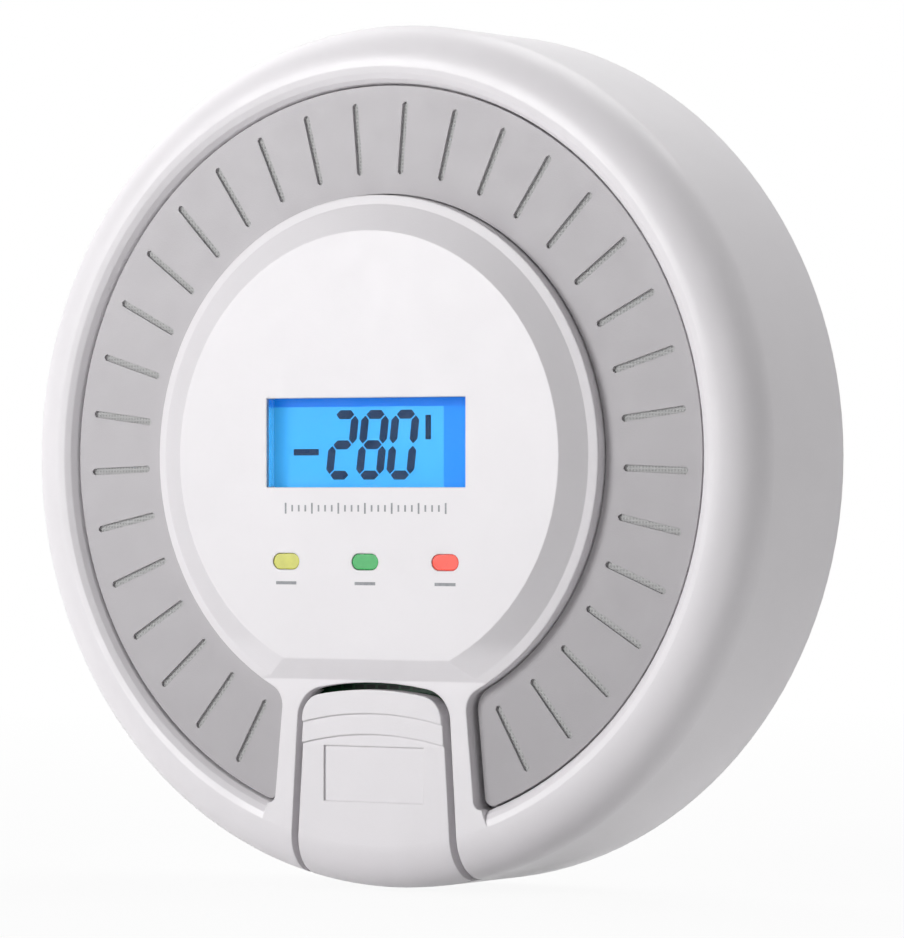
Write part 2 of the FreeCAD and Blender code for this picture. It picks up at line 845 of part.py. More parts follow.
def make_test_button():
    """Shell that follows the lip, with stepped top edge, thumb panel, pivot pins and post."""
    body = new_body("test_button")
    inner_edge = s.button_crown / 2
    high = lip_depth + s.terrace_step * 2
    shoulder = s.button_crown + s.second_terrace * 2
    back = lip_depth - s.button_wall
    sketch = profile(body, [
        (s.drum_radius, lip_depth - s.lip_radius, -s.lip_radius),
        (lip_crest, lip_depth),
        (shoulder, lip_depth),
        (shoulder, high),
        (inner_edge, high),
        (inner_edge, back),
        *corner_inside(s.drum_radius - s.button_wall, back, s.lip_radius - s.button_wall),
    ])
    revolve(body, sketch)
    sketch = front_sketch(body, high + s.fit)
    circle(sketch, 0, 0, s.drum_radius * 2)
    button_outline(sketch, button_half_top, button_half_foot, s.button_crown,
                   s.drum_radius + s.lip_radius, s.button_corner)
    pocket(body, sketch, s.drum_depth)
    sketch = front_sketch(body, lip_depth - s.button_wrap)
    rectangle(sketch, -s.drum_radius, -(s.drum_radius + s.lip_radius), s.drum_radius, 0)
    pocket(body, sketch, s.lip_radius)
    for step, drop in ((1, s.first_terrace), (2, s.second_terrace)):
        sketch = front_sketch(body, high + s.fit)
        half = button_half_foot + s.button_corner
        button_outline(sketch, half, half, s.button_crown + drop, s.drum_radius,
                       s.button_corner)
        pocket(body, sketch, step * s.terrace_step + s.fit)
    sketch = front_sketch(body, lip_depth + s.fit)
    rectangle(sketch, -s.thumb_half_width, -s.thumb_bottom, s.thumb_half_width, -s.thumb_top)
    pocket(body, sketch, s.thumb_sink + s.fit)
    add_button_inside(body)
    return body


def add_button_inside(body):
    """Two ribs, the pivot pins and the post that works the switch."""
    under = lip_depth - s.button_wall + s.fit
    for side in (-1, 1):
        sketch = new_sketch(body, "YZ_Plane", side * s.pivot_rib_spread)
        half = s.pivot_pin_radius + s.rib_wall / 2
        rectangle(sketch, -under, -(s.pivot_drop + half), -(s.pivot_depth - half),
                  -(s.pivot_drop - half * 2))
        pad(body, sketch, s.rib_wall, symmetric=True)
    sketch = new_sketch(body, "YZ_Plane", -(pivot_half_span - s.fit))
    circle(sketch, -s.pivot_depth, -s.pivot_drop, s.pivot_pin_radius)
    pad(body, sketch, (pivot_half_span - s.fit) * 2)
    plunger_top = board_front + s.switch_height + s.plunger_rise
    sketch = front_sketch(body, plunger_top + s.post_gap)
    circle(sketch, 0, -s.switch_drop, s.plunger_radius)
    pad(body, sketch, under - plunger_top - s.post_gap)


def make_switch_body():
    body = new_body("switch_body")
    sketch = front_sketch(body, board_front)
    centred_rectangle(sketch, 0, -s.switch_drop, s.switch_side / 2, s.switch_side / 2)
    pad(body, sketch, s.switch_height)
    sketch = front_sketch(body, board_front + s.switch_height)
    circle(sketch, 0, -s.switch_drop, s.plunger_radius + s.running_fit)
    pocket(body, sketch, s.plunger_socket)
    return body


def make_switch_plunger():
    body = new_body("switch_plunger")
    top = board_front + s.switch_height + s.plunger_rise
    length = s.plunger_socket / 2 + s.plunger_rise
    sketch = front_sketch(body, top - length)
    circle(sketch, 0, -s.switch_drop, s.plunger_radius)
    pad(body, sketch, length)
    return body


# Display and indicator lights

def make_lcd_lens():
    """Clear window: a flange behind the cap and a step that fills the opening."""
    body = new_body("lcd_lens")
    sketch = front_sketch(body, cap_inside - s.lens_flange)
    centred_rectangle(sketch, 0, s.display_height, s.display_half_width + s.lens_margin,
                      s.display_half_height + s.lens_margin)
    pad(body, sketch, s.lens_flange)
    sketch = front_sketch(body, cap_inside)
    centred_rectangle(sketch, 0, s.display_height, s.display_half_width - s.fit / 2,
                      s.display_half_height - s.fit / 2)
    pad(body, sketch, s.lens_thickness - s.lens_flange)
    return body


def display_plate(label, back, thickness, margin_x, margin_z):
    body = new_body(label)
    sketch = front_sketch(body, back)
    centred_rectangle(sketch, 0, s.display_height, s.display_half_width + margin_x,
                      s.display_half_height + margin_z)
    pad(body, sketch, thickness)
    return body


panel_front = cap_inside - s.lens_flange - s.fit
panel_back = panel_front - s.panel_thickness
guide_back = panel_back - s.light_guide_thickness


def make_lcd_panel():
    return display_plate("lcd_panel", panel_back, s.panel_thickness,
                         s.panel_margin, s.panel_margin)


def make_lcd_light_guide():
    return display_plate("lcd_light_guide", guide_back, s.light_guide_thickness,
                         s.panel_margin, 0)


def make_lcd_strips():
    """Two rubber contact strips between the board and the display's glass."""
    body = new_body("lcd_strips")
    body.AllowCompound = True
    for side in (-1, 1):
        sketch = front_sketch(body, board_front)
        centre = s.display_height + side * (s.display_half_height + s.strip_width / 2 + s.fit)
        centred_rectangle(sketch, 0, centre, s.display_half_width, s.strip_width / 2)
        pad(body, sketch, panel_back - board_front)
    return body


def make_lcd_frame():
    """Holder that stands on the board round the display's glass."""
    body = display_plate("lcd_frame", board_front, panel_front - board_front,
                         s.panel_margin + s.frame_wall, s.panel_margin + s.frame_wall)
    sketch = front_sketch(body, panel_front)
    centred_rectangle(sketch, 0, s.display_height,
                      s.display_half_width + s.panel_margin + s.fit / 2,
                      s.display_half_height + s.panel_margin + s.fit / 2)
    pocket(body, sketch, s.drum_depth)
    return body


def make_light_pipe(place, colour):
    """Clear pipe from an indicator's window down to its light on the board."""
    body = new_body(f"light_pipe_{colour}")
    start = board_front + s.led_height + s.fit
    sketch = front_sketch(body, start)
    light_outline(sketch, place, s.fit / 2)
    pad(body, sketch, cap_depth - s.fit / 2 - start)
    sketch = front_sketch(body, cap_inside - s.pipe_flange)
    light_outline(sketch, place, -s.pipe_flange)
    pad(body, sketch, s.pipe_flange)
    return body


def make_status_leds():
    body = new_body("status_leds")
    body.AllowCompound = True
    for place in (-1, 0, 1):
        sketch = front_sketch(body, board_front)
        centred_rectangle(sketch, place * s.light_spread, -s.light_drop,
                          s.led_length / 2, s.led_width / 2)
        pad(body, sketch, s.led_height)
    return body


# Circuit board and what it carries

def make_main_board():
    """Round board with cut-outs for the sounder, the screws and the sensor's pins."""
    body = new_body("main_board")
    sketch = front_sketch(body, board_back)
    circle(sketch, 0, 0, s.board_radius)
    circle(sketch, s.sounder_x, s.sounder_z, s.sounder_radius + s.seat_gap)
    for x, z in board_boss_places():
        circle(sketch, x, z, s.screw_shank_radius + s.fit)
    for x, z in sensor_pin_places():
        circle(sketch, x, z, s.sensor_pin_radius + s.running_fit)
    pad(body, sketch, s.board_thickness)
    return body


def sensor_pin_places():
    reach = s.sensor_pin_circle
    return ((s.sensor_x - reach, s.sensor_z), (s.sensor_x + reach, s.sensor_z),
            (s.sensor_x, s.sensor_z + reach))


def make_sensor_can():
    """Round gas sensor with an inlet facing the rear vents."""
    body = new_body("gas_sensor_can")
    sketch = front_sketch(body, board_back - s.sensor_height)
    circle(sketch, s.sensor_x, s.sensor_z, s.sensor_radius)
    pad(body, sketch, s.sensor_height)
    rear = board_back - s.sensor_height
    sketch = front_sketch(body, rear + s.cover_wall)
    circle(sketch, s.sensor_x, s.sensor_z, s.sensor_radius / 2)
    pocket(body, sketch, s.cover_wall)
    return body


def make_sensor_filter():
    """Filter disc seated in the sensor's inlet."""
    body = new_body("gas_sensor_filter")
    rear = board_back - s.sensor_height
    sketch = front_sketch(body, rear + s.fit)
    circle(sketch, s.sensor_x, s.sensor_z, s.sensor_radius / 2 - s.fit / 2)
    pad(body, sketch, s.cover_wall - s.fit)
    return body


def make_sensor_pins():
    body = new_body("gas_sensor_pins")
    body.AllowCompound = True
    for x, z in sensor_pin_places():
        sketch = front_sketch(body, board_back)
        circle(sketch, x, z, s.sensor_pin_radius)
        pad(body, sketch, s.board_thickness + s.led_height)
    return body


sounder_front = flange_back - s.mesh_thickness - s.seat_gap
sounder_rear = sounder_front - s.sounder_height
disc_front = sounder_rear + s.sounder_wall * 2


def make_sounder_chamber():
    """Resonating cup through the board, with a port towards the grille."""
    body = new_body("sounder_chamber")
    sketch = front_sketch(body, sounder_rear)
    circle(sketch, s.sounder_x, s.sounder_z, s.sounder_radius)
    pad(body, sketch, s.sounder_height)
    sketch = front_sketch(body, board_back - s.sounder_wall)
    circle(sketch, s.sounder_x, s.sounder_z, s.sounder_radius + s.sounder_wall)
    pad(body, sketch, s.sounder_wall)
    sketch = front_sketch(body, sounder_front - s.sounder_wall)
    inside = s.sounder_radius - s.sounder_wall
    circle(sketch, s.sounder_x, s.sounder_z, inside - s.disc_ledge)
    pocket(body, sketch, s.sounder_height)
    sketch = front_sketch(body, disc_front)
    circle(sketch, s.sounder_x, s.sounder_z, inside)
    pocket(body, sketch, s.sounder_height)
    sketch = front_sketch(body, sounder_front)
    circle(sketch, s.sounder_x + s.port_shift_x, s.sounder_z + s.port_shift_z, s.port_radius)
    pocket(body, sketch, s.sounder_wall * 2)
    return body


def make_sounder_disc(label, radius, front, thickness):
    body = new_body(label)
    sketch = front_sketch(body, front - thickness)
    circle(sketch, s.sounder_x, s.sounder_z, radius)
    pad(body, sketch, thickness)
    return body


def make_board_part(label, x, half, height, is_round=False):
    """A component on the board's rear face, below the battery bay."""
    body = new_body(label)
    z = -s.board_part_drop
    sketch = front_sketch(body, board_back - height)
    if is_round:
        circle(sketch, x, z, half)
    else:
        centred_rectangle(sketch, x, z, half, half)
    pad(body, sketch, height)
    return body


# Rear cover, battery bay and door

bay_bottom = s.bay_centre - s.bay_half_height
bay_top = s.bay_centre + s.bay_half_height
door_inside = s.platform_depth + s.door_sink + s.door_thickness
bay_floor = door_inside + s.seat_gap + s.cell_radius * 2 + s.seat_gap
hinge_height = bay_top - s.door_bead - s.seat_gap
hinge_depth = s.platform_depth + s.door_sink + s.door_bead


def make_rear_cover():
    """Back of the case: a raised platform, a channel for the twist lock and a battery bay."""
    body = new_body("rear_cover")
    rim = drum_inner - s.fit
    outer = channel_radius + s.channel_wall
    sketch = profile(body, [
        (0, s.platform_depth),
        (s.platform_radius, s.platform_depth),
        (s.platform_radius, s.channel_floor),
        (channel_radius, s.channel_floor),
        (channel_radius, s.channel_edge),
        (outer, s.channel_edge),
        (outer, s.wall_gap),
        (rim, s.wall_gap),
        (rim, cover_inside),
        (s.platform_radius - s.platform_wall, cover_inside),
        (s.platform_radius - s.platform_wall, platform_inside),
        (0, platform_inside),
    ])
    revolve(body, sketch)
    add_battery_bay(body)
    add_lugs(body)
    cut_cover_screws(body)
    cut_vents(body)
    cut_finger_notch(body)
    return body


def add_battery_bay(body):
    """A tray for two cells, with a ledge for the door on three sides."""
    wall = s.bay_wall
    sketch = front_sketch(body, platform_inside - s.fit)
    rectangle(sketch, -(s.bay_half_length + wall), bay_bottom - wall,
              s.bay_half_length + wall, bay_top + wall - s.bay_ledge)
    pad(body, sketch, bay_floor + s.bay_floor_wall - platform_inside + s.fit)
    sketch = front_sketch(body, bay_floor)
    rectangle(sketch, -s.bay_half_length, bay_bottom, s.bay_half_length, bay_top)
    pocket(body, sketch, bay_floor)
    sketch = front_sketch(body, platform_inside)
    rectangle(sketch, -(s.bay_half_length + s.bay_ledge), bay_bottom - s.bay_ledge,
              s.bay_half_length + s.bay_ledge, bay_top)
    pocket(body, sketch, platform_inside)
    sketch = new_sketch(body, "YZ_Plane")
    circle(sketch, -hinge_depth, hinge_height, s.door_pin_radius + s.running_fit)
    reach = s.bay_half_length + s.bay_ledge + s.door_pin_length
    pocket(body, sketch, reach * 2, symmetric=True)


def add_lugs(body):
    """Lugs that reach in over the channel and catch behind the mounting plate's hooks."""
    inner = channel_radius - s.lug_reach
    front = s.plate_thickness + s.seat_gap + s.lug_thickness
    sketch = profile(body, [
        (inner, front - s.lug_thickness),
        (channel_radius + s.fit, front - s.lug_thickness),
        (channel_radius + s.fit, front),
        (inner, front),
    ], turn=-s.lug_start)
    lug = revolve(body, sketch, s.lug_angle)
    polar(body, [lug], s.lug_count)


def cut_cover_screws(body):
    sketch = front_sketch(body, cover_inside)
    circle(sketch, 0, screw_circle, s.screw_shank_radius + s.fit)
    hole = pocket(body, sketch, cover_inside)
    sketch = front_sketch(body, s.wall_gap + s.screw_head_height)
    circle(sketch, 0, screw_circle, s.screw_head_radius + s.fit)
    sink = pocket(body, sketch, s.wall_gap)
    polar(body, [hole, sink], s.screw_count)


def cut_vents(body):
    """Upright vents in the platform above the battery bay."""
    for place in range(int(SIZES["vent_count"])):
        x = (place - (s.vent_count - 1) / 2) * s.vent_pitch
        sketch = front_sketch(body, platform_inside + s.fit)
        radius = s.vent_width / 2
        obround(sketch, x, s.vent_height, s.vent_length / 2 - radius, radius, upright=True)
        pocket(body, sketch, platform_inside)


def cut_finger_notch(body):
    """A hollow below the door, where a fingertip lifts its lower edge."""
    sketch = front_sketch(body, s.platform_depth + s.notch_depth)
    top = bay_bottom - s.bay_ledge + s.fit
    closed_outline(sketch, [
        (-s.notch_half_width, top),
        (-s.notch_half_width / 2, top - s.notch_height),
        (s.notch_half_width / 2, top - s.notch_height),
        (s.notch_half_width, top),
    ])
    pocket(body, sketch, s.notch_depth + s.fit)


def make_battery_door():
    """Door of the battery bay, hinged on two pins at its top edge."""
    body = new_body("battery_door")
    half = s.bay_half_length + s.bay_ledge - s.seat_gap
    bottom = bay_bottom - s.bay_ledge + s.seat_gap
    sketch = front_sketch(body, door_inside - s.door_thickness)
    rectangle(sketch, -half, bottom, half, hinge_height)
    pad(body, sketch, s.door_thickness)
    sketch = new_sketch(body, "YZ_Plane")
    circle(sketch, -hinge_depth, hinge_height, s.door_bead)
    pad(body, sketch, (s.bay_half_length - s.seat_gap) * 2, symmetric=True)
    sketch = new_sketch(body, "YZ_Plane")
    circle(sketch, -hinge_depth, hinge_height, s.door_pin_radius)
    pad(body, sketch, (half + s.door_pin_length) * 2, symmetric=True)
    sketch = front_sketch(body, door_inside - s.fit)
    rectangle(sketch, -s.tongue_half_width, bay_bottom + s.seat_gap,
              s.tongue_half_width, bay_bottom + s.seat_gap + s.tongue_wall)
    pad(body, sketch, s.tongue_length + s.fit)
    return body


def make_cells(label, side):
    """One AA cell lying along X; side says which way its nub points and which row it is in."""
    body = new_body(label)
    z = s.bay_centre + side * (s.cell_radius + s.fit)
    depth = door_inside + s.seat_gap + s.cell_radius
    sketch = new_sketch(body, "YZ_Plane")
    circle(sketch, -depth, z, s.cell_radius)
    pad(body, sketch, s.cell_length, symmetric=True)
    half = (s.cell_length + s.cell_nub_length) / 2
    sketch = new_sketch(body, "YZ_Plane", side * half)
    circle(sketch, -depth, z, s.cell_nub_radius)
    pad(body, sketch, s.cell_nub_length, symmetric=True)
    return body


def make_contacts():
    """Four contact plates in the bay's ends, each pressed or sprung against a cell's end."""
    body = new_body("battery_contacts")
    body.AllowCompound = True
    depth = door_inside + s.seat_gap + s.cell_radius
    for side in (-1, 1):
        for row in (-1, 1):
            z = s.bay_centre + row * (s.cell_radius + s.fit)
            centre = side * (s.bay_half_length - s.contact_plate / 2)
            sketch = new_sketch(body, "YZ_Plane", centre)
            centred_rectangle(sketch, -depth, z, s.contact_width / 2, s.contact_width / 2)
            pad(body, sketch, s.contact_plate, symmetric=True)
            nub = s.cell_nub_length if side == row else 0
            gap = s.bay_half_length - s.contact_plate - s.cell_length / 2 - nub - s.fit / 2
            sketch = new_sketch(body, "YZ_Plane",
                                side * (s.bay_half_length - s.contact_plate - gap / 2))
            circle(sketch, -depth, z, s.cell_nub_radius)
            pad(body, sketch, gap, symmetric=True)
    return body


# Fasteners

def make_housing_screws():
    body = new_body("housing_screws")
    body.AllowCompound = True
    head_top = s.wall_gap + s.screw_head_height
    sketch = front_sketch(body, s.wall_gap)
    circle(sketch, 0, screw_circle, s.screw_head_radius)
    head = pad(body, sketch, s.screw_head_height)
    sketch = front_sketch(body, head_top)
    circle(sketch, 0, screw_circle, s.screw_shank_radius)
    shank = pad(body, sketch, s.screw_length)
    polar(body, [head, shank], s.screw_count)
    return body


def make_board_screws():
    body = new_body("board_screws")
    body.AllowCompound = True
    for x, z in board_boss_places():
        sketch = front_sketch(body, board_back - s.screw_head_height)
        circle(sketch, x, z, s.screw_head_radius)
        pad(body, sketch, s.screw_head_height)
        sketch = front_sketch(body, board_back)
        circle(sketch, x, z, s.screw_shank_radius)
        pad(body, sketch, s.board_thickness + s.board_screw_length - s.fit)
    return body


# Mounting plate

def make_mounting_plate():
    """Ring that is screwed to the wall, with hooks for the alarm's lugs."""
    body = new_body("mounting_plate")
    sketch = front_sketch(body)
    circle(sketch, 0, 0, plate_outer)
    circle(sketch, 0, 0, plate_inner)
    for side in (-1, 1):
        obround(sketch, side * plate_slot_place, 0,
                s.plate_slot_length / 2 - s.plate_slot_radius, s.plate_slot_radius)
    pad(body, sketch, s.plate_thickness)
    wall_outer = hook_inner + s.hook_wall
    under = s.hook_top - s.hook_lip
    sketch = profile(body, [
        (hook_inner, s.plate_thickness - s.fit),
        (wall_outer, s.plate_thickness - s.fit),
        (wall_outer, under),
        (wall_outer + s.hook_reach, under),
        (wall_outer + s.hook_reach, s.hook_top),
        (hook_inner, s.hook_top),
    ], turn=-s.lug_start)
    hook = revolve(body, sketch, s.hook_angle)
    stop_turn = (s.hook_angle - s.hook_stop) / 2
    sketch = profile(body, [
        (wall_outer - s.fit, s.plate_thickness - s.fit),
        (wall_outer + s.hook_reach, s.plate_thickness - s.fit),
        (wall_outer + s.hook_reach, s.hook_top - s.fit),
        (wall_outer - s.fit, s.hook_top - s.fit),
    ], turn=stop_turn - s.lug_start)
    stop = revolve(body, sketch, s.hook_stop)
    polar(body, [hook, stop], s.lug_count)
    return body


# Build every piece, check it and write it

def make_all():
    pieces = [
        make_mounting_plate(),
        make_front_housing(),
        make_grille_ring(),
        make_insect_mesh(),
        make_rear_cover(),
        make_battery_door(),
        make_test_button(),
        make_switch_body(),
        make_switch_plunger(),
        make_lcd_lens(),
        make_lcd_panel(),
        make_lcd_light_guide(),
        make_lcd_strips(),
        make_lcd_frame(),
        make_light_pipe(-1, "yellow"),
        make_light_pipe(0, "green"),
        make_light_pipe(1, "red"),
        make_status_leds(),
        make_main_board(),
        make_sensor_can(),
        make_sensor_filter(),
        make_sensor_pins(),
        make_sounder_chamber(),
        make_sounder_disc("piezo_brass_disc", s.sounder_radius - s.sounder_wall - s.fit,
                          disc_front, s.disc_brass),
        make_sounder_disc("piezo_ceramic", s.sounder_radius / 2 + s.sounder_wall,
                          disc_front - s.disc_brass, s.disc_ceramic),
        make_board_part("microcontroller", s.chip_x, s.chip_side / 2, s.chip_height),
        make_board_part("boost_coil", s.board_part_spread, s.coil_radius, s.coil_height,
                        is_round=True),
        make_board_part("storage_capacitor", -s.board_part_spread, s.capacitor_radius,
                        s.capacitor_height, is_round=True),
        make_cells("battery_cell_upper", 1),
        make_cells("battery_cell_lower", -1),
        make_contacts(),
        make_housing_screws(),
        make_board_screws(),
    ]
    doc.recompute()
    return pieces


def check(pieces):
    for item in doc.Objects:
        if "Invalid" in item.State or "Error" in item.State:
            raise RuntimeError(f"{item.Name} ({item.Label}) failed: {item.State}")
    for piece in pieces:
        if piece.Shape.isNull() or not piece.Shape.isValid():
            raise RuntimeError(f"{piece.Label} has no valid shape")


def write(pieces):
    os.makedirs("parts", exist_ok=True)
    for piece in pieces:
        piece.Shape.exportStep(f"parts/{piece.Label}.step")
        print(f"{piece.Label}: {len(piece.Shape.Solids)} solid(s), "
              f"{piece.Shape.Volume:.0f} mm3")


pieces = make_all()
check(pieces)
write(pieces)
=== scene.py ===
"""Looks of a round wall-mounted carbon monoxide alarm with a display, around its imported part.

Frame, in metres: +Z up, +X right as seen from the room, -Y out of the wall.
"""

import math

import bmesh
import bpy
from mathutils import Matrix, Vector


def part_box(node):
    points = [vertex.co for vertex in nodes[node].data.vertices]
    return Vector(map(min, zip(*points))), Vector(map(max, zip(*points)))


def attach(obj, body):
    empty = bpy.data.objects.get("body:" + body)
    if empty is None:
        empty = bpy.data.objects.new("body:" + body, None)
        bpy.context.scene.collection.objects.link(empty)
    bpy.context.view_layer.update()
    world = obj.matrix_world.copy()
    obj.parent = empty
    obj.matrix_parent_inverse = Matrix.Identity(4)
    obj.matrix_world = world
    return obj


MM = 0.001

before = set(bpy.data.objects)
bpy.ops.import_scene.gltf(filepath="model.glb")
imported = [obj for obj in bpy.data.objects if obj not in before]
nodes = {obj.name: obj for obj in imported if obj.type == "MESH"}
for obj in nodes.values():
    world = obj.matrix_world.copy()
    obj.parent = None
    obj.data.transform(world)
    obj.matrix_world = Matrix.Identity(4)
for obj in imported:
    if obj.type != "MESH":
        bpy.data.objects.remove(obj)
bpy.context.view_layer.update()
cap_front = -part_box("front_housing")[0].y
panel_front = -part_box("lcd_panel")[0].y


# Node helpers

def fresh_tree(owner, output_kind):
    """The owner's node tree, emptied, and its output node."""
    owner.use_nodes = True
    tree = owner.node_tree
    tree.nodes.clear()
    return tree, tree.nodes.new(output_kind)


def new_material(name):
    """A material with its tree and its only shader."""
    material = bpy.data.materials.new(name)
    tree, output = fresh_tree(material, "ShaderNodeOutputMaterial")
    shader = tree.nodes.new("ShaderNodeBsdfPrincipled")
    tree.links.new(shader.outputs["BSDF"], output.inputs["Surface"])
    return material, tree, shader


def place(tree):
    """The point's place in the object, in metres."""
    return tree.nodes.new("ShaderNodeTexCoord").outputs["Object"]


def coordinates(tree):
    """The X, Y and Z of the point's place, by name."""
    split = tree.nodes.new("ShaderNodeSeparateXYZ")
    tree.links.new(place(tree), split.inputs[0])
    return split.outputs


def stretched(tree, source, scale):
    """The place with each axis scaled by its own factor."""
    mapping = tree.nodes.new("ShaderNodeMapping")
    mapping.inputs["Scale"].default_value = scale
    tree.links.new(source, mapping.inputs["Vector"])
    return mapping.outputs["Vector"]


def noise(tree, source, scale, detail=2.0, rough=0.5):
    """Soft random patches from 0 to 1."""
    node = tree.nodes.new("ShaderNodeTexNoise")
    node.inputs["Scale"].default_value = scale
    node.inputs["Detail"].default_value = detail
    node.inputs["Roughness"].default_value = rough
    tree.links.new(source, node.inputs["Vector"])
    return node.outputs["Fac"]


def ramp(tree, source, low, high, stops=(0.3, 0.7)):
    """A grey or a colour that goes from low to high as the source passes the stops."""
    node = tree.nodes.new("ShaderNodeValToRGB")
    for element, position, colour in zip(node.color_ramp.elements, stops, (low, high)):
        if isinstance(colour, (int, float)):
            colour = (colour,) * 3
        element.position = position
        element.color = (*colour, 1.0)
    tree.links.new(source, node.inputs["Fac"])
    return node.outputs["Color"]


def dimmed(colour, share):
    """A share of a colour's strength."""
    return tuple(channel * share for channel in colour)


def math_node(tree, kind, *values):
    """One sum on numbers and other nodes' outputs."""
    node = tree.nodes.new("ShaderNodeMath")
    node.operation = kind
    for socket, value in zip(node.inputs, values):
        if isinstance(value, (int, float)):
            socket.default_value = value
        else:
            tree.links.new(value, socket)
    return node.outputs[0]


def mixed(tree, factor, low, high):
    """A colour between two, each a colour or another node's output."""
    node = tree.nodes.new("ShaderNodeMix")
    node.data_type = "RGBA"
    tree.links.new(factor, node.inputs[0])
    for socket, value in ((node.inputs[6], low), (node.inputs[7], high)):
        if isinstance(value, tuple):
            socket.default_value = (*value, 1.0)
        else:
            tree.links.new(value, socket)
    return node.outputs[2]


def map_range(tree, source, low, high):
    """0 to 1 as the source goes from low to high."""
    node = tree.nodes.new("ShaderNodeMapRange")
    node.inputs["From Min"].default_value = low
    node.inputs["From Max"].default_value = high
    tree.links.new(source, node.inputs["Value"])
    return node.outputs["Result"]


def add_relief(tree, shader, height, distance, edge=None, over=None):
    """Bump from a height, over edges that look rounded to a radius."""
    bump = tree.nodes.new("ShaderNodeBump")
    bump.inputs["Distance"].default_value = distance
    tree.links.new(height, bump.inputs["Height"])
    if edge:
        bevel = tree.nodes.new("ShaderNodeBevel")
        bevel.samples = 4
        bevel.inputs["Radius"].default_value = edge
        normal = bevel.outputs["Normal"]
        if over:
            normal = over(tree, normal)
        tree.links.new(normal, bump.inputs["Normal"])
    tree.links.new(bump.outputs["Normal"], shader.inputs["Normal"])


# General materials

def plastic(name, colour, rough, grain=0.012 * MM, edge=None, spread=0.03, painted_shade=None,
            over=None):
    """Moulded plastic: fine grain, slight mottling and uneven gloss.

    painted_shade paints shade into the mottled colour, and over the normal under the grain.
    """
    material, tree, shader = new_material(name)
    where = place(tree)
    mottle = noise(tree, where, scale=70.0, detail=4.0)
    shade = ramp(tree, mottle, dimmed(colour, 1 - spread), colour)
    # Where given, painted shade is mixed into the mottled colour here.
    if painted_shade:
        shade = painted_shade(tree, shade)
    tree.links.new(shade, shader.inputs["Base Color"])
    gloss = noise(tree, where, scale=240.0, detail=3.0)
    roughness = ramp(tree, gloss, rough * 0.88, min(1.0, rough * 1.12), stops=(0.25, 0.75))
    tree.links.new(roughness, shader.inputs["Roughness"])
    add_relief(tree, shader, noise(tree, where, scale=4200.0, rough=0.6), grain, edge, over)
    return material


def metal(name, colour, rough):
    """Metal with fine drawn lines and uneven tarnish."""
    material, tree, shader = new_material(name)
    where = place(tree)
    tarnish = noise(tree, where, scale=300.0, detail=3.0)
    tree.links.new(ramp(tree, tarnish, dimmed(colour, 0.82), colour),
                   shader.inputs["Base Color"])
    shader.inputs["Metallic"].default_value = 1.0
    lines = noise(tree, stretched(tree, where, (900, 900, 60)), scale=6.0, detail=3.0)
    roughness = ramp(tree, lines, rough * 0.8, min(1.0, rough * 1.3), stops=(0.2, 0.8))
    tree.links.new(roughness, shader.inputs["Roughness"])
    add_relief(tree, shader, lines, 0.004 * MM)
    return material


def clear_plastic(name, colour):
    """Clear window with faint smears."""
    material, tree, shader = new_material(name)
    smear = noise(tree, place(tree), scale=160.0, detail=3.0)
    tree.links.new(ramp(tree, smear, 0.028, 0.06), shader.inputs["Roughness"])
    shader.inputs["Base Color"].default_value = (*colour, 1.0)
    shader.inputs["Transmission Weight"].default_value = 1.0
    shader.inputs["IOR"].default_value = 1.2
    shader.inputs["Specular IOR Level"].default_value = 0.2
    return material


def lit_window(name, colour, glow, strength):
    """Tinted and glowing window with a faint haze."""
    material, tree, shader = new_material(name)
    haze = noise(tree, place(tree), scale=900.0)
    for full, socket in ((colour, "Base Color"), (glow, "Emission Color")):
        tree.links.new(ramp(tree, haze, dimmed(full, 0.85), full, stops=(0.2, 0.8)),
                       shader.inputs[socket])
    shader.inputs["Emission Strength"].default_value = strength
    shader.inputs["Roughness"].default_value = 0.25
    add_relief(tree, shader, haze, 0.01 * MM, edge=0.2 * MM)
    return material


def ink(name, colour, rough):
    """Matt print with slight patches."""
    material, tree, shader = new_material(name)
    patch = noise(tree, place(tree), scale=1500.0)
    tree.links.new(ramp(tree, patch, dimmed(colour, 0.8), colour), shader.inputs["Base Color"])
    shader.inputs["Roughness"].default_value = rough
    shader.inputs["Specular IOR Level"].default_value = 0.1
    return material


def woven_mesh(name, low, high):
    """Cloth of crossed threads; low and high are its greys in and on the threads."""
    thread_pitch = 0.5 * MM
    material, tree, shader = new_material(name)
    point = coordinates(tree)
    waves = [math_node(tree, "ABSOLUTE", math_node(
        tree, "SINE", math_node(tree, "MULTIPLY", point[axis], math.pi / thread_pitch)))
        for axis in ("X", "Z")]
    weave = math_node(tree, "MAXIMUM", *waves)
    tree.links.new(ramp(tree, weave, low, high, stops=(0.5, 0.95)),
                   shader.inputs["Base Color"])
    shader.inputs["Roughness"].default_value = 0.8
    add_relief(tree, shader, weave, 0.08 * MM)
    return material


# Materials of single pieces

def deeper_bevel(tree, normal):
    """Shade the cap's sloping edge as a deeper one, except for its straight lower part."""
    bevel_rise, extra_depth = 1.75 * MM, 1.15 * MM
    straight_top, round_foot = -28.0 * MM, -25.0 * MM
    point = coordinates(tree)
    bump = tree.nodes.new("ShaderNodeBump")
    bump.inputs["Distance"].default_value = extra_depth
    tree.links.new(map_range(tree, point["Y"], bevel_rise - cap_front, -cap_front),
                   bump.inputs["Height"])
    tree.links.new(map_range(tree, point["Z"], straight_top, round_foot),
                   bump.inputs["Strength"])
    tree.links.new(normal, bump.inputs["Normal"])
    return bump.outputs["Normal"]


